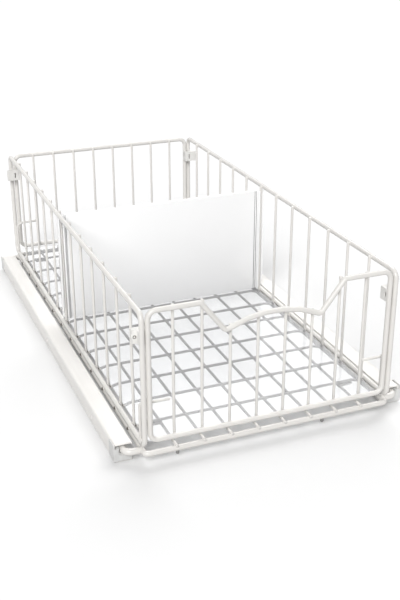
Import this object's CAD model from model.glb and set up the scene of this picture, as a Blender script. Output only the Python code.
import math

import bmesh
import bpy
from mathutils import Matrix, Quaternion, Vector


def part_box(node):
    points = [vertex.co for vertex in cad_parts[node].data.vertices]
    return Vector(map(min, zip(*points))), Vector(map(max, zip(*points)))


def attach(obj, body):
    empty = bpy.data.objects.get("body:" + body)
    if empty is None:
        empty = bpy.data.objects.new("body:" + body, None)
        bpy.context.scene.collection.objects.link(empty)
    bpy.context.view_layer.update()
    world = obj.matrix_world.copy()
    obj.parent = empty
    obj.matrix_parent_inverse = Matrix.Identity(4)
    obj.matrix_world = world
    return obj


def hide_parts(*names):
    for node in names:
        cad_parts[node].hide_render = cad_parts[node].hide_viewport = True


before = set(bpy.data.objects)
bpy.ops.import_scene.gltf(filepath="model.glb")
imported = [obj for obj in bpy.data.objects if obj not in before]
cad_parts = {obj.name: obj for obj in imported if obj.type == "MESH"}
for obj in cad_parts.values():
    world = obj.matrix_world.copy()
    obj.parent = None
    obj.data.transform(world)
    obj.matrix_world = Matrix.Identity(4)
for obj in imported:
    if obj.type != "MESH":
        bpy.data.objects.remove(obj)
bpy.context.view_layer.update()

# ---- Camera ----
# It stands in front of the basket's left corner and looks down into it, as someone
# does who has just opened the cabinet.
film_height = 36
focal_length = 57.96
camera_place = (-0.3143, -0.8621, 0.4359)
camera_turn = (66.113, 0.119, -21.911)

camera_data = bpy.data.cameras.new("camera")
camera_data.sensor_fit = "VERTICAL"
camera_data.sensor_height = film_height
camera_data.lens = focal_length
camera = bpy.data.objects.new("camera", camera_data)
camera.location = camera_place
camera.rotation_euler = [math.radians(a) for a in camera_turn]
bpy.context.scene.collection.objects.link(camera)
bpy.context.scene.camera = camera
bpy.context.scene.view_settings.view_transform = "Standard"

# ---- Room ----
# A white sweep under the basket, bright as a light table where it is seen through the
# clear mat, white walls all round, and two lights: behind on the right and in front on
# the left. Each light's row is its name, place, spread in degrees and strength.
floor_half = 8.0
sweep_seen = (0.81, 0.81, 0.81, 1)
sweep_lit = (0.65, 0.65, 0.65, 1)
mat_glow = 1.0
wall_light = 0.24
lights = (
    ("back_right", (0.42, 0.62, 0.85), 50, 2.05),
    ("front_left", (-0.6, -0.95, 0.85), 30, 2.8),
)

floor_corners = [(x * floor_half, y * floor_half, 0) for x, y in ((-1, -1), (1, -1), (1, 1), (-1, 1))]
floor_mesh = bpy.data.meshes.new("floor")
floor_mesh.from_pydata(floor_corners, [], [(0, 1, 2, 3)])
floor = bpy.data.objects.new("floor", floor_mesh)
bpy.context.scene.collection.objects.link(floor)


def node_adder(tree):
    """Gives the function that adds a node to a tree, sets its values and links what feeds it."""

    def add(kind, values=None, feeds=None, **settings):
        made = tree.nodes.new(kind)
        for name, value in settings.items():
            setattr(made, name, value)
        for socket, value in (values or {}).items():
            made.inputs[socket].default_value = value
        for socket, source in (feeds or {}).items():
            tree.links.new(source, made.inputs[socket])
        return made

    return add


def seen_directly(add):
    """Share of a ray that comes from the camera, or off or through a glossy surface."""
    paths = add("ShaderNodeLightPath")
    mirrors = {0: paths.outputs["Is Glossy Ray"], 1: paths.outputs["Is Transmission Ray"]}
    mirrored = add("ShaderNodeMath", None, mirrors, operation="MAXIMUM")
    views = {0: paths.outputs["Is Camera Ray"], 1: mirrored.outputs[0]}
    return add("ShaderNodeMath", None, views, operation="MAXIMUM")


sweep = bpy.data.materials.new("sweep")
sweep.use_nodes = True
sweep.node_tree.nodes.clear()
add = node_adder(sweep.node_tree)
direct = seen_directly(add)
crossed = add("ShaderNodeLightPath").outputs["Transparent Depth"]
through_mat = add("ShaderNodeMapRange", {"To Max": mat_glow}, {"Value": crossed})
table = add("ShaderNodeEmission", {"Color": (1, 1, 1, 1)}, {"Strength": through_mat.outputs["Result"]})
seen = add("ShaderNodeBsdfDiffuse", {"Color": sweep_seen})
bright = add("ShaderNodeAddShader", None, {0: seen.outputs[0], 1: table.outputs[0]})
dark = add("ShaderNodeBsdfDiffuse", {"Color": sweep_lit})
both = add("ShaderNodeMixShader", None, {0: direct.outputs[0], 1: dark.outputs[0], 2: bright.outputs[0]})
add("ShaderNodeOutputMaterial", None, {"Surface": both.outputs[0]})
floor_mesh.materials.append(sweep)

world = bpy.data.worlds.new("walls")
world.use_nodes = True
bpy.context.scene.world = world
walls = world.node_tree.nodes["Background"]
walls.inputs["Color"].default_value = (1, 1, 1, 1)
add = node_adder(world.node_tree)
direct = seen_directly(add)
level = add("ShaderNodeMapRange", {"To Min": wall_light, "To Max": 1.0}, {"Value": direct.outputs[0]})
world.node_tree.links.new(level.outputs["Result"], walls.inputs["Strength"])

for name, place, spread_angle, strength in lights:
    light_data = bpy.data.lights.new(name, "SUN")
    light_data.angle = math.radians(spread_angle)
    light_data.energy = strength
    light = bpy.data.objects.new(name, light_data)
    light.location = place
    light.rotation_euler = (-Vector(place)).to_track_quat("-Z", "Y").to_euler()
    bpy.context.scene.collection.objects.link(light)

# ---- Rails ----
# Each rail is 1.2 mm steel sheet folded to a C that is open to the inside, with a
# short lip along each flange and three screw holes in its wall. It is powder coated.
mm = 0.001
sheet = 1.2 * mm
fold_out = 1.8 * mm
fold_in = 0.6 * mm
lip_fold = 1.0 * mm
lip_tip = 2.0 * mm
fold_steps = 6
screw_hole = 2.1 * mm
screw_pitch = 160 * mm
hole_sides = 32
hole_run = 4 * sheet
cut_edge = 0.15 * mm
cut_over = 1 * mm
smooth_angle = 50


def shade(material, kind, **inputs):
    """New shader node in a material, with values set on its sockets."""
    made = material.node_tree.nodes.new(kind)
    for name, value in inputs.items():
        made.inputs[name.replace("_", " ")].default_value = value
    return made


def link(material, source, target, socket):
    material.node_tree.links.new(source, target.inputs[socket])


def powder_coat(name, pale, deep, roughness, peel, drag=(1, 1, 1)):
    """Baked powder: two close tones in soft patches, an orange-peel skin and uneven gloss.
    A small drag draws the patches out along that axis, as scuffs from use."""
    coat = bpy.data.materials.new(name)
    coat.use_nodes = True
    surface = coat.node_tree.nodes["Principled BSDF"]
    surface.inputs["Specular IOR Level"].default_value = 0.45
    place = shade(coat, "ShaderNodeTexCoord")
    drawn = shade(coat, "ShaderNodeMapping", Scale=drag)
    patches = shade(coat, "ShaderNodeTexNoise", Scale=45, Detail=3, Roughness=0.6)
    tones = shade(coat, "ShaderNodeValToRGB")
    tones.color_ramp.elements[0].position = 0.35
    tones.color_ramp.elements[0].color = (*deep, 1)
    tones.color_ramp.elements[1].position = 0.65
    tones.color_ramp.elements[1].color = (*pale, 1)
    skin = shade(coat, "ShaderNodeTexNoise", Scale=900, Detail=2, Roughness=0.5)
    gloss = shade(coat, "ShaderNodeMapRange", To_Min=roughness - 0.05, To_Max=roughness + 0.07)
    bump = shade(coat, "ShaderNodeBump", Strength=peel, Distance=0.0001)
    link(coat, place.outputs["Object"], drawn, "Vector")
    link(coat, drawn.outputs["Vector"], patches, "Vector")
    link(coat, place.outputs["Object"], skin, "Vector")
    link(coat, patches.outputs["Fac"], tones, "Fac")
    link(coat, patches.outputs["Fac"], gloss, "Value")
    link(coat, skin.outputs["Fac"], bump, "Height")
    link(coat, tones.outputs["Color"], surface, "Base Color")
    link(coat, gloss.outputs["Result"], surface, "Roughness")
    link(coat, bump.outputs["Normal"], surface, "Normal")
    return coat


def piece(name, mesh, material, body, slot, *nodes):
    """Object for a finished mesh: it rides on a body and stands for CAD nodes."""
    made = bpy.data.objects.new(name, mesh)
    mesh.materials.clear()
    mesh.materials.append(material)
    bpy.context.scene.collection.objects.link(made)
    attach(made, body)
    if nodes:
        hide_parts(*nodes)
    return made


def shade_smooth(made, angle=smooth_angle):
    """Shades a piece smooth, apart from the edges that turn by more than the angle."""
    made.data.shade_smooth()
    made.data.set_sharp_from_angle(angle=math.radians(angle))


def ease_edges(made, width, angle=35, segments=2):
    """Rounds a piece's sharp edges over, as tumbling and coating leave them."""
    bevel = made.modifiers.new("eased_edges", "BEVEL")
    bevel.width = width
    bevel.segments = segments
    bevel.limit_method = "ANGLE"
    bevel.angle_limit = math.radians(angle)
    bevel.harden_normals = False
    shade_smooth(made)


def arc(centre, radius, start, end, steps):
    """Points of a circular arc in a plane, angles in degrees."""
    angles = [math.radians(start + (end - start) * i / steps) for i in range(steps + 1)]
    return [(centre[0] + radius * math.cos(a), centre[1] + radius * math.sin(a)) for a in angles]


def rail_outline(width, height):
    """Section of the folded sheet: x runs from the wall to the open side, y is up."""
    lower = [(width - sheet, lip_tip), (width, lip_tip)]
    lower += arc((width - lip_fold, lip_fold), lip_fold, 0, -90, fold_steps)
    lower += arc((fold_out, fold_out), fold_out, -90, -180, fold_steps)
    inner = arc((sheet + fold_in, sheet + fold_in), fold_in, 180, 270, fold_steps)
    inner += [(width - sheet, sheet)]
    outside = lower + [(x, height - y) for x, y in reversed(lower)]
    inside = [(x, height - y) for x, y in reversed(inner)] + inner
    return outside + inside


def extrude(outline, depth):
    """Closed prism: a plane outline in x and z, run along y from 0 to depth."""
    shape = bmesh.new()
    front = [shape.verts.new((x, 0, z)) for x, z in outline]
    back = [shape.verts.new((x, depth, z)) for x, z in outline]
    shape.faces.new(front)
    shape.faces.new(reversed(back))
    for i in range(len(outline)):
        j = (i + 1) % len(outline)
        shape.faces.new((front[j], front[i], back[i], back[j]))
    bmesh.ops.recalc_face_normals(shape, faces=shape.faces)
    return shape


def to_mesh(name, shape):
    mesh = bpy.data.meshes.new(name)
    shape.to_mesh(mesh)
    shape.free()
    return mesh


def cut_away(made, shape):
    """Takes a closed shape away from a piece."""
    cutter = bpy.data.objects.new("cutter", to_mesh("cutter", shape))
    bpy.context.scene.collection.objects.link(cutter)
    cut = made.modifiers.new("cut", "BOOLEAN")
    cut.object = cutter
    cut.solver = "EXACT"
    apply_modifiers(made)
    bpy.data.objects.remove(cutter)


def blocks(boxes):
    """Plain boxes from (low, high) corners, to cut slots and pockets with."""
    shape = bmesh.new()
    for low, high in boxes:
        block = bmesh.ops.create_cube(shape, size=1)
        bmesh.ops.scale(shape, vec=high - low, verts=block["verts"])
        bmesh.ops.translate(shape, vec=(low + high) / 2, verts=block["verts"])
    return shape


def drill(made, spots, radius, axis, depth):
    """Cuts round holes through a piece at each spot."""
    shape = bmesh.new()
    turn = Vector((0, 0, 1)).rotation_difference(axis).to_matrix().to_4x4()
    for spot in spots:
        bit = bmesh.ops.create_cone(
            shape, cap_ends=True, segments=hole_sides, radius1=radius, radius2=radius, depth=depth
        )
        bmesh.ops.transform(shape, matrix=turn, verts=bit["verts"])
        bmesh.ops.translate(shape, vec=spot, verts=bit["verts"])
    cut_away(made, shape)


def apply_modifiers(made):
    """Turns a piece's modifiers into plain mesh."""
    bpy.context.view_layer.update()
    shown = made.evaluated_get(bpy.context.evaluated_depsgraph_get())
    mesh = bpy.data.meshes.new_from_object(shown)
    mesh.name = made.data.name
    made.modifiers.clear()
    made.data = mesh


rail_coat = powder_coat("rail_coat", (0.8, 0.782, 0.757), (0.775, 0.756, 0.73), 0.36, 0.5, (4, 0.25, 4))

for side, out in (("left", -1), ("right", 1)):
    rail_low, rail_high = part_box(f"rail_{side}")
    wall_x = rail_low.x if out < 0 else rail_high.x
    rail_shape = extrude(rail_outline(rail_high.x - rail_low.x, rail_high.z), rail_high.y - rail_low.y)
    for vertex in rail_shape.verts:
        vertex.co = (wall_x - out * vertex.co.x, vertex.co.y + rail_low.y, vertex.co.z)
    if out > 0:
        bmesh.ops.reverse_faces(rail_shape, faces=rail_shape.faces)
    rail_name = f"folded_rail_{side}"
    rail_mesh = to_mesh(rail_name, rail_shape)
    rail = piece(rail_name, rail_mesh, rail_coat, "rails", "rail_coat", f"rail_{side}")
    holes = [Vector((wall_x, y, rail_high.z / 2)) for y in (-screw_pitch, 0, screw_pitch)]
    drill(rail, holes, screw_hole, Vector((1, 0, 0)), hole_run)
    ease_edges(rail, cut_edge)

# ---- Guide blocks and glides ----
# The guide blocks are grey acetal mouldings pushed into the rails' ends, and the
# glides are pressed on the runner rods. All have a fine spark-eroded skin.
mould_edge = 0.3 * mm
same_point = 0.002 * mm
flat_angle = math.radians(1)


def moulded(name, pale, deep, roughness, grain):
    """Moulded plastic: a slow change of tone where it flowed, and a fine etched skin."""
    plastic = bpy.data.materials.new(name)
    plastic.use_nodes = True
    surface = plastic.node_tree.nodes["Principled BSDF"]
    surface.inputs["IOR"].default_value = 1.47
    place = shade(plastic, "ShaderNodeTexCoord")
    flow = shade(plastic, "ShaderNodeTexNoise", Scale=90, Detail=2, Distortion=0.6)
    tones = shade(plastic, "ShaderNodeValToRGB")
    tones.color_ramp.elements[0].position = 0.3
    tones.color_ramp.elements[0].color = (*deep, 1)
    tones.color_ramp.elements[1].position = 0.7
    tones.color_ramp.elements[1].color = (*pale, 1)
    skin = shade(plastic, "ShaderNodeTexNoise", Scale=3200, Detail=2)
    gloss = shade(plastic, "ShaderNodeMapRange", To_Min=roughness - 0.06, To_Max=roughness + 0.06)
    bump = shade(plastic, "ShaderNodeBump", Strength=grain, Distance=0.00004)
    link(plastic, place.outputs["Object"], flow, "Vector")
    link(plastic, place.outputs["Object"], skin, "Vector")
    link(plastic, flow.outputs["Fac"], tones, "Fac")
    link(plastic, skin.outputs["Fac"], gloss, "Value")
    link(plastic, skin.outputs["Fac"], bump, "Height")
    link(plastic, tones.outputs["Color"], surface, "Base Color")
    link(plastic, gloss.outputs["Result"], surface, "Roughness")
    link(plastic, bump.outputs["Normal"], surface, "Normal")
    return plastic


def moulding(node, material, body, slot, width=0):
    """A CAD solid with clean flat faces. Its edges are rounded over where a width is given."""
    shape = bmesh.new()
    shape.from_mesh(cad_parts[node].data)
    bmesh.ops.remove_doubles(shape, verts=shape.verts, dist=same_point)
    bmesh.ops.dissolve_limit(shape, angle_limit=flat_angle, verts=shape.verts, edges=shape.edges)
    made = piece(f"moulded_{node}", to_mesh(f"moulded_{node}", shape), material, body, slot, node)
    if width:
        ease_edges(made, width)
    return made


guide_grey = moulded("guide_grey", (0.64, 0.64, 0.63), (0.58, 0.58, 0.57), 0.42, 0.5)
for end in ("front", "rear"):
    for side in ("left", "right"):
        moulding(f"{end}_guide_{side}", guide_grey, "rails", "guide_plastic", mould_edge)
for side in ("left", "right"):
    moulding(f"rear_glide_{side}", guide_grey, "basket", "guide_plastic", mould_edge)

# ---- Runner rods and base frame ----
# The rods are 6 mm steel and the base frame is one 5 mm wire bent to a ring. Both
# are welded together and powder coated with the rest of the basket.
wire_edge = 0.35 * mm
ring_sides = 20
bend_steps = 8


def bent(corners, radius, closed=False):
    """Centre line through the corners, each rounded to its bend radius."""
    count = len(corners)
    radii = radius if isinstance(radius, (list, tuple)) else [radius] * count
    line = []
    for i, corner in enumerate(corners):
        if not closed and i in (0, count - 1):
            line.append(corner)
            continue
        back = (corners[i - 1] - corner).normalized()
        ahead = (corners[(i + 1) % count] - corner).normalized()
        half = back.angle(ahead) / 2
        centre = corner + (back + ahead).normalized() * radii[i] / math.sin(half)
        first = corner + back * radii[i] / math.tan(half) - centre
        last = corner + ahead * radii[i] / math.tan(half) - centre
        axis, angle = first.rotation_difference(last).to_axis_angle()
        steps = max(3, math.ceil(bend_steps * angle / (math.pi / 2)))
        for step in range(steps + 1):
            spoke = first.copy()
            spoke.rotate(Quaternion(axis, angle * step / steps))
            line.append(centre + spoke)
    return line


def wire(shape, line, diameter, closed=False):
    """Adds a round wire along a centre line to a mesh. Its cut ends are eased."""
    radius = diameter / 2
    count = len(line)
    tangents = []
    for i in range(count):
        before = line[i - 1] if closed or i > 0 else line[i]
        after = line[(i + 1) % count] if closed or i < count - 1 else line[i]
        tangents.append((after - before).normalized())
    across = tangents[0].orthogonal().normalized()
    rings = []
    for i in range(count):
        if i > 0:
            across.rotate(tangents[i - 1].rotation_difference(tangents[i]))
        rings.append((line[i], tangents[i], across.copy(), radius))
    if not closed:
        ease = min(wire_edge, radius / 2)
        for end, way in ((0, 1), (-1, -1)):
            point, tangent, side, _ = rings[end]
            turns = (0, math.pi / 4, math.pi / 2)
            eased = [(ease * (1 - math.sin(a)), radius - ease * (1 - math.cos(a))) for a in turns]
            tips = [(point + tangent * way * along, tangent, side, r) for along, r in eased]
            rings = tips[::-1] + rings[1:] if end == 0 else rings[:-1] + tips
    loops = []
    spokes = [2 * math.pi * k / ring_sides for k in range(ring_sides)]
    for point, tangent, side, r in rings:
        other = tangent.cross(side)
        round_it = [point + (side * math.cos(a) + other * math.sin(a)) * r for a in spokes]
        loops.append([shape.verts.new(p) for p in round_it])
    pairs = list(zip(loops, loops[1:]))
    if closed:
        pairs.append((loops[-1], loops[0]))
    for low, high in pairs:
        for k in range(ring_sides):
            m = (k + 1) % ring_sides
            shape.faces.new((low[k], low[m], high[m], high[k]))
    if not closed:
        shape.faces.new(reversed(loops[0]))
        shape.faces.new(loops[-1])


def wirework(name, lines, diameter, *nodes, closed=False, body="basket"):
    """One coated piece made of wires of one diameter."""
    shape = bmesh.new()
    for line in lines:
        wire(shape, line, diameter, closed)
    bmesh.ops.recalc_face_normals(shape, faces=shape.faces)
    made = piece(name, to_mesh(name, shape), wire_coat, body, "wire_coat", *nodes)
    shade_smooth(made)
    return made


def mirrored(line):
    """The same line on the other side of the basket, left for right."""
    return [Vector((-p.x, p.y, p.z)) for p in line]


def turned(line):
    """The same line at the other end of the basket, front for back."""
    return [Vector((p.x, -p.y, p.z)) for p in line]


wire_coat = powder_coat("wire_coat", (0.7, 0.683, 0.656), (0.67, 0.653, 0.627), 0.24, 0.5)
rod_d = 6 * mm
rod_bend = 6 * mm
base_d = 5 * mm
base_bend = 3.2 * mm

base_low, base_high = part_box("base_frame")
base_x = base_high.x - base_d / 2
base_y = base_high.y - base_d / 2
rod_z = (base_low.z + base_high.z) / 2
base_corners = [Vector((x * base_x, y * base_y, rod_z)) for x, y in ((1, 1), (-1, 1), (-1, -1), (1, -1))]
base_line = bent(base_corners, base_bend, True)
wirework("base_ring", [base_line], base_d, "base_frame", closed=True)

rod_low, rod_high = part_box("runner_rod_left")
rod_x = rod_low.x + rod_d / 2
run_y = rod_high.y - rod_d / 2
rod_corners = [
    Vector((-base_x, -run_y, rod_z)),
    Vector((rod_x, -run_y, rod_z)),
    Vector((rod_x, run_y, rod_z)),
    Vector((-base_x, run_y, rod_z)),
]
rod_line = bent(rod_corners, rod_bend)
wirework("bent_rod_left", [rod_line], rod_d, "runner_rod_left")
wirework("bent_rod_right", [mirrored(rod_line)], rod_d, "runner_rod_right")

# ---- Floor mesh ----
# Eight long wires lie on the base frame and twelve cross wires lie on them. The
# cross wires' ends are set down and welded to the base frame's sides.
mesh_d = 2.5 * mm
long_count = 8
cross_count = 12
set_down = 9 * mm
set_bend = 6 * mm
flat_in = 1 * mm
weld_half = Vector((1.7, 1.7, 0.8)) * mm


def spread(low, high, count):
    """Even places from low to high."""
    return [low + (high - low) * i / (count - 1) for i in range(count)]


def weld_beads(name, spots, half, body="basket"):
    """Small collars of squeezed metal under the coat where two wires are welded."""
    shape = bmesh.new()
    for spot in spots:
        bead = bmesh.ops.create_icosphere(shape, subdivisions=2, radius=1)
        bmesh.ops.scale(shape, vec=half, verts=bead["verts"])
        bmesh.ops.translate(shape, vec=spot, verts=bead["verts"])
    made = piece(name, to_mesh(name, shape), wire_coat, body, "wire_coat")
    made.data.shade_smooth()
    return made


long_low, long_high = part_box("floor_long_wires")
long_xs = spread(long_low.x + mesh_d / 2, long_high.x - mesh_d / 2, long_count)
long_z = (long_low.z + long_high.z) / 2
long_lines = [[Vector((x, long_low.y, long_z)), Vector((x, long_high.y, long_z))] for x in long_xs]
wirework("long_wires", long_lines, mesh_d, "floor_long_wires")

cross_low, cross_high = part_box("floor_cross_wires")
cross_ys = spread(cross_high.y - mesh_d / 2, cross_low.y + mesh_d / 2, cross_count)
cross_z = cross_high.z - mesh_d / 2
flat_x = base_x - base_d / 2 - flat_in
cross_lines = []
for y in cross_ys:
    left_half = [
        Vector((cross_low.x, y, long_z)),
        Vector((-flat_x, y, long_z)),
        Vector((set_down - flat_x, y, cross_z)),
    ]
    cross_lines.append(bent(left_half + mirrored(left_half)[::-1], set_bend))
wirework("cross_wires", cross_lines, mesh_d, "floor_cross_wires")

floor_spots = [Vector((x, y, (long_z + cross_z) / 2)) for x in long_xs for y in cross_ys]
weld_beads("floor_weld_beads", floor_spots, weld_half)
base_top = base_high.z
rim_spots = [Vector((x, s * base_y, base_top)) for x in long_xs for s in (-1, 1)]
rim_spots += [Vector((s * base_x, y, base_top)) for y in cross_ys for s in (-1, 1)]
weld_beads("rim_weld_beads", rim_spots, weld_half)

# ---- Bare steel ----
# The cross wires are sheared off after welding and the powder does not reach their cut
# ends, nor the crevices at the uprights' feet, so the steel there stays dull and dark.
shear_d = 2.6 * mm
shear_proud = 0.1 * mm
shear_bare = 1.1 * mm
crevice_half = Vector((0.55, 2.3, 0.5)) * mm
crevice_gap = 0.35 * mm

bare_steel = powder_coat("bare_steel", (0.17, 0.155, 0.14), (0.1, 0.09, 0.08), 0.55, 0.8)
shear_lines = []
crevices = []
foot_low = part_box("side_uprights_right")[0]
for y in cross_ys:
    for s in (-1, 1):
        end = Vector((-s * cross_low.x, y, long_z))
        shear_lines.append([end + Vector((s * shear_proud, 0, 0)), end - Vector((s * shear_bare, 0, 0))])
        crevices.append(Vector((s * (foot_low.x - crevice_gap), y, foot_low.z + crevice_gap)))
shears = wirework("sheared_ends", shear_lines, shear_d)
shears.data.materials[0] = bare_steel
bare_crevices = weld_beads("bare_crevices", crevices, crevice_half)
bare_crevices.data.materials[0] = bare_steel

# ---- Corner tabs and bumpers ----
# Four stamped steel tabs are welded under the outer cross wires, and two rubber
# studs are pressed into the front bar from below.
tab_edge = 0.35 * mm
stud_edge = 0.4 * mm

moulding("corner_tabs", wire_coat, "basket", "wire_coat", tab_edge)
stud_rubber = moulded("stud_rubber", (0.22, 0.217, 0.213), (0.18, 0.177, 0.173), 0.5, 0.8)
moulding("bar_bumpers", stud_rubber, "basket", "bumper_rubber", stud_edge)

# ---- Panels ----
# Each panel is a ring of 4.5 mm wire with 2.5 mm uprights welded to its inside.
# The front ring's top wire dips in the middle and arches up between two bends.
panel_d = 4.5 * mm
panel_bend = 7 * mm
dip_half = 63 * mm
dip_bend = 4 * mm
dip_slope = math.radians(52.4)
arch_bend = 90 * mm
arch_top = 118 * mm
arch_swing = math.radians(24.62)
panel_weld = Vector((1.5, 0.8, 1.9)) * mm
side_weld = Vector((0.8, 1.5, 1.9)) * mm
top_weld_drop = 1.5 * mm

for side, out in (("left", -1), ("right", 1)):
    ring_low, ring_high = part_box(f"side_frame_{side}")
    ring_x = (ring_low.x + ring_high.x) / 2
    ring_y = ring_high.y - panel_d / 2
    ring_bottom = ring_low.z + panel_d / 2
    ring_top = ring_high.z - panel_d / 2
    side_corners = [
        Vector((ring_x, y * ring_y, z))
        for y, z in ((1, ring_top), (-1, ring_top), (-1, ring_bottom), (1, ring_bottom))
    ]
    side_line = bent(side_corners, panel_bend, True)
    wirework(f"side_ring_{side}", [side_line], panel_d, f"side_frame_{side}", closed=True)
    post_low, post_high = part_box(f"side_uprights_{side}")
    post_x = (post_low.x + post_high.x) / 2
    post_lines = [[Vector((post_x, y, post_low.z)), Vector((post_x, y, post_high.z))] for y in cross_ys]
    wirework(f"side_posts_{side}", post_lines, mesh_d, f"side_uprights_{side}")
    weld_x = post_x + out * mesh_d / 2
    side_spots = [Vector((weld_x, y, z)) for y in cross_ys for z in (ring_bottom, ring_top)]
    weld_beads(f"side_weld_beads_{side}", side_spots, side_weld)

back_low, back_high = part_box("back_frame")
back_x = back_high.x - panel_d / 2
back_y = (back_low.y + back_high.y) / 2
back_bottom = back_low.z + panel_d / 2
back_top = back_high.z - panel_d / 2
back_corners = [
    Vector((x * back_x, back_y, z))
    for x, z in ((-1, back_top), (1, back_top), (1, back_bottom), (-1, back_bottom))
]
wirework("back_ring", [bent(back_corners, panel_bend, True)], panel_d, "back_frame", closed=True)

front_low, front_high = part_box("front_frame")
front_y = (front_low.y + front_high.y) / 2
front_top = front_high.z - panel_d / 2
apex_z = arch_top - arch_bend + arch_bend / math.cos(arch_swing)
slope = math.tan(dip_slope)
swing = math.tan(arch_swing)
low_x = (apex_z - front_top + dip_half * slope) / (slope + swing)
low_z = apex_z - low_x * swing
right_half = [
    Vector((back_x, front_y, back_bottom)),
    Vector((back_x, front_y, front_top)),
    Vector((dip_half, front_y, front_top)),
    Vector((low_x, front_y, low_z)),
]
front_corners = right_half + [Vector((0, front_y, apex_z))] + mirrored(right_half)[::-1]
half_bends = [panel_bend, panel_bend, dip_bend, dip_bend]
front_bends = half_bends + [arch_bend] + half_bends[::-1]
wirework("front_ring", [bent(front_corners, front_bends, True)], panel_d, "front_frame", closed=True)

for end in ("front", "back"):
    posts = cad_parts[f"{end}_uprights"]
    post_low, post_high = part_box(f"{end}_uprights")
    post_y = (post_low.y + post_high.y) / 2
    weld_y = post_y + math.copysign(mesh_d / 2, post_y)
    post_lines = []
    end_spots = []
    for x in long_xs:
        top = max(v.co.z for v in posts.data.vertices if abs(v.co.x - x) < mesh_d)
        post_lines.append([Vector((x, post_y, post_low.z)), Vector((x, post_y, top))])
        end_spots += [Vector((x, weld_y, back_bottom)), Vector((x, weld_y, top - top_weld_drop))]
    wirework(f"{end}_posts", post_lines, mesh_d, f"{end}_uprights")
    weld_beads(f"{end}_weld_beads", end_spots, panel_weld)

# ---- Hook wires ----
# One 2.5 mm wire at each corner runs from the end panel's first upright past the
# posts, and turns down to the side panel's bottom wire, so that the panels hook together.
hook_in = 2 * mm
hook_drop = 2.5 * mm
hook_bend = 2.6 * mm

hook_low, hook_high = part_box("hook_wire_front_left")
hook_z = hook_high.z - mesh_d / 2
hook_corners = [
    Vector((hook_high.x, hook_low.y + mesh_d / 2, hook_z)),
    Vector((hook_in - back_x, hook_low.y + mesh_d / 2, hook_z)),
    Vector((hook_low.x + mesh_d / 2, hook_high.y - mesh_d / 2, hook_z - hook_drop)),
    Vector((hook_low.x + mesh_d / 2, hook_high.y - mesh_d / 2, hook_low.z)),
]
hook_line = bent(hook_corners, hook_bend)
wirework("hook_front_left", [hook_line], mesh_d, "hook_wire_front_left")
wirework("hook_front_right", [mirrored(hook_line)], mesh_d, "hook_wire_front_right")
wirework("hook_back_left", [turned(hook_line)], mesh_d, "hook_wire_back_left")
wirework("hook_back_right", [turned(mirrored(hook_line))], mesh_d, "hook_wire_back_right")

# ---- Corner clips ----
# Small nylon clips tie the posts of neighbouring panels together, with a groove for
# either post. A pin with a steel washer goes through the ear outside each clip, and a
# steel catch sits in a pocket in its inner face.
clip_edge = 0.45 * mm
clip_ear = 3.5 * mm
clip_ear_len = 5 * mm
boss_h = 0.6 * mm
pocket_low = 5.6 * mm
pocket_high = 8.4 * mm
pocket_depth = 1.6 * mm
pocket_half = 2.5 * mm
washer_profile = ((0, 0.1), (1.4, 0.1), (1.5, 0), (1.5, -0.3))
pin_profile = ((0, 0.6), (0.45, 0.55), (0.7, 0.35), (0.8, 0.1), (0.8, -0.3))
pin_sides = 28
pin_angle = 40
catch_half = Vector((0.5, 0.95, 1.9)) * mm


def lathed(name, profile, places, sides):
    """One turned shape at each place: (radius, height) pairs in mm, turned about a direction."""
    shape = bmesh.new()
    for spot, way in places:
        turn = Vector((0, 0, 1)).rotation_difference(way)
        rings = []
        for radius, height in profile:
            count = sides if radius else 1
            angles = [2 * math.pi * k / count for k in range(count)]
            ring = [Vector((radius * math.cos(a), radius * math.sin(a), height)) * mm for a in angles]
            rings.append([shape.verts.new(spot + turn @ p) for p in ring])
        for inner, outer in zip(rings, rings[1:]):
            for k in range(sides):
                m = (k + 1) % sides
                if len(inner) == 1:
                    shape.faces.new((inner[0], outer[k], outer[m]))
                else:
                    shape.faces.new((inner[k], outer[k], outer[m], inner[m]))
        shape.faces.new(rings[-1])
    bmesh.ops.recalc_face_normals(shape, faces=shape.faces)
    return to_mesh(name, shape)


clip_pale = moulded("clip_pale", (0.74, 0.73, 0.705), (0.69, 0.68, 0.655), 0.34, 0.4)
pin_places = []
catch_spots = []
for end, toward in (("front", -1), ("back", 1)):
    for side, out in (("left", -1), ("right", 1)):
        clip_low, clip_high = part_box(f"clip_{end}_{side}")
        clip_z = (clip_low.z + clip_high.z) / 2
        inner_x = clip_high.x if out < 0 else clip_low.x
        outer_x = inner_x + out * (clip_high.x - clip_low.x)
        tail_y = clip_high.y if toward < 0 else clip_low.y
        corners = [
            Vector((inner_x - out * cut_over, tail_y + toward * pocket_low, clip_z - pocket_half)),
            Vector((inner_x + out * pocket_depth, tail_y + toward * pocket_high, clip_z + pocket_half)),
        ]
        low = Vector([min(pair) for pair in zip(*corners)])
        high = Vector([max(pair) for pair in zip(*corners)])
        clip = moulding(f"clip_{end}_{side}", clip_pale, "basket", "clip_plastic")
        cut_away(clip, blocks([(low, high)]))
        ease_edges(clip, clip_edge)
        pin_x = outer_x - out * (clip_ear / 2 + boss_h)
        pin_y = tail_y + toward * clip_ear_len
        pin_places.append((Vector((pin_x, pin_y, clip_z)), Vector((0, toward, 0))))
        catch_x = inner_x + out * (pocket_depth - catch_half.x)
        catch_y = tail_y + toward * (pocket_low + pocket_high) / 2
        catch_spots.append(Vector((catch_x, catch_y, clip_z)))
turned_parts = (
    ("clip_washers", washer_profile, bare_steel),
    ("clip_pins", pin_profile, clip_pale),
)
for name, profile, material in turned_parts:
    mesh = lathed(name, profile, pin_places, pin_sides)
    heads = piece(name, mesh, material, "basket", "clip_plastic")
    shade_smooth(heads, pin_angle)
catches = weld_beads("clip_catches", catch_spots, catch_half)
catches.data.materials[0] = bare_steel

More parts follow.
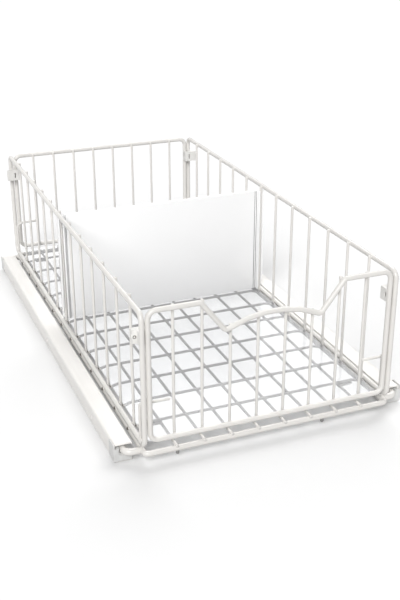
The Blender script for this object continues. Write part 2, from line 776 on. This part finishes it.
# ---- Floor mat ----
# A loose sheet of clear soft plastic lies on the cross wires. It sags a little
# between them, and its skin is smooth enough to mirror the room at a low angle.
mat_sag = 0.2 * mm
mat_corner = 5 * mm
mat_columns = 36
mat_rows = 12
mat_corner_angles = (0, 22, 44, 62, 78, 90)
mat_edge = 0.2 * mm
mat_edge_angle = 60
mat_colour = (0.36, 0.37, 0.39, 1)

mat_low, mat_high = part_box("floor_mat")
mat_half_x = mat_high.x
mat_half_y = mat_high.y


def mat_point(row_y, share, height):
    """A point of the sheet: share runs from -1 to 1 across a row."""
    past = max(0, abs(row_y) - (mat_half_y - mat_corner))
    half = mat_half_x - mat_corner + math.sqrt(max(0, mat_corner**2 - past**2))
    pitch = cross_ys[0] - cross_ys[1]
    sag = mat_sag * (1 - math.cos(2 * math.pi * (row_y - cross_ys[0]) / pitch)) / 2
    return (share * half, row_y, height - sag)


corner_start = mat_half_y - mat_corner
corner_rows = [corner_start + mat_corner * math.sin(math.radians(a)) for a in mat_corner_angles]
middle_rows = spread(corner_rows[0], -corner_rows[0], mat_rows * cross_count)
row_ys = corner_rows[:0:-1] + middle_rows + [-y for y in corner_rows[1:]]
mat_shape = bmesh.new()
layers = []
for height in (mat_low.z, mat_high.z):
    rows = [[mat_point(y, s, height) for s in spread(-1, 1, mat_columns)] for y in row_ys]
    layers.append([[mat_shape.verts.new(point) for point in row] for row in rows])
bottom, top = layers
for r in range(len(row_ys) - 1):
    for c in range(mat_columns - 1):
        mat_shape.faces.new((top[r][c], top[r][c + 1], top[r + 1][c + 1], top[r + 1][c]))
        mat_shape.faces.new((bottom[r][c], bottom[r + 1][c], bottom[r + 1][c + 1], bottom[r][c + 1]))
    for c in (0, -1):
        mat_shape.faces.new((top[r][c], top[r + 1][c], bottom[r + 1][c], bottom[r][c]))
for c in range(mat_columns - 1):
    for r in (0, -1):
        mat_shape.faces.new((top[r][c], top[r][c + 1], bottom[r][c + 1], bottom[r][c]))
bmesh.ops.recalc_face_normals(mat_shape, faces=mat_shape.faces)

clear_mat = bpy.data.materials.new("clear_mat")
clear_mat.use_nodes = True
mat_surface = clear_mat.node_tree.nodes["Principled BSDF"]
mat_surface.inputs["Base Color"].default_value = mat_colour
mat_surface.inputs["Roughness"].default_value = 0.12
mat_surface.inputs["IOR"].default_value = 1.45
mat_place = shade(clear_mat, "ShaderNodeTexCoord")
mat_haze = shade(clear_mat, "ShaderNodeTexNoise", Scale=25, Detail=4)
mat_cover = shade(clear_mat, "ShaderNodeMapRange", To_Min=0.26, To_Max=0.34)
mat_ripple = shade(clear_mat, "ShaderNodeTexNoise", Scale=60, Detail=2)
mat_bump = shade(clear_mat, "ShaderNodeBump", Strength=0.15, Distance=0.0005)
link(clear_mat, mat_place.outputs["Object"], mat_haze, "Vector")
link(clear_mat, mat_place.outputs["Object"], mat_ripple, "Vector")
link(clear_mat, mat_haze.outputs["Fac"], mat_cover, "Value")
link(clear_mat, mat_cover.outputs["Result"], mat_surface, "Alpha")
link(clear_mat, mat_ripple.outputs["Fac"], mat_bump, "Height")
link(clear_mat, mat_bump.outputs["Normal"], mat_surface, "Normal")
sheet_mesh = to_mesh("floor_sheet", mat_shape)
floor_sheet = piece("floor_sheet", sheet_mesh, clear_mat, "basket", "mat_film", "floor_mat")
ease_edges(floor_sheet, mat_edge, mat_edge_angle)

# ---- Divider ----
# One white glossy moulding: a plate with a recessed, grooved strip at either end, and
# a pair of prongs that clip round an upright of the side panel. Dust lies in the grooves,
# which are cut shallower at the left. A groove's row is its side, depth and dust line.
divider_edge = 0.25 * mm
groove_width = 0.9 * mm
groove_sizes = (("left", -1, 0.3 * mm, 0.25 * mm), ("right", 1, 1.1 * mm, 0.65 * mm))
groove_xs = (102.3 * mm, 104.2 * mm)
strip_t = 2 * mm
dust_drop = 0.1 * mm
divider_deep = (0.9, 0.9, 0.9, 1)
divider_pale = (0.93, 0.93, 0.93, 1)

divider_white = bpy.data.materials.new("divider_white")
divider_white.use_nodes = True
divider_surface = divider_white.node_tree.nodes["Principled BSDF"]
divider_surface.inputs["IOR"].default_value = 1.5
divider_place = shade(divider_white, "ShaderNodeTexCoord")
divider_flow = shade(divider_white, "ShaderNodeTexNoise", Scale=14, Detail=3, Distortion=0.4)
divider_tones = shade(divider_white, "ShaderNodeValToRGB")
divider_tones.color_ramp.elements[0].color = divider_deep
divider_tones.color_ramp.elements[1].color = divider_pale
divider_gloss = shade(divider_white, "ShaderNodeMapRange", To_Min=0.14, To_Max=0.22)
divider_bump = shade(divider_white, "ShaderNodeBump", Strength=0.08, Distance=0.0006)
link(divider_white, divider_place.outputs["Object"], divider_flow, "Vector")
link(divider_white, divider_flow.outputs["Fac"], divider_tones, "Fac")
link(divider_white, divider_flow.outputs["Fac"], divider_gloss, "Value")
link(divider_white, divider_flow.outputs["Fac"], divider_bump, "Height")
link(divider_white, divider_tones.outputs["Color"], divider_surface, "Base Color")
link(divider_white, divider_gloss.outputs["Result"], divider_surface, "Roughness")
link(divider_white, divider_bump.outputs["Normal"], divider_surface, "Normal")
divider = moulding("divider", divider_white, "divider", "divider_plastic")
plate_low, plate_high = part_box("divider")
dust_grey = moulded("seam_grey", (0.28, 0.28, 0.28), (0.22, 0.22, 0.22), 0.5, 0.5)
face_y = plate_high.y - strip_t
grooves = []
for side, out, groove_depth, dust_d in groove_sizes:
    dust_y = face_y + dust_drop + dust_d / 2
    dust_ends = (plate_low.z + dust_d, plate_high.z - dust_d)
    dust_lines = []
    for x in groove_xs:
        groove_low = Vector((out * x - groove_width / 2, face_y - cut_over, plate_low.z - cut_over))
        groove_high = Vector((out * x + groove_width / 2, face_y + groove_depth, plate_high.z + cut_over))
        grooves.append((groove_low, groove_high))
        dust_lines.append([Vector((out * x, dust_y, z)) for z in dust_ends])
    divider_seams = wirework(f"divider_seams_{side}", dust_lines, dust_d, body="divider")
    divider_seams.data.materials[0] = dust_grey
cut_away(divider, blocks(grooves))
ease_edges(divider, divider_edge)
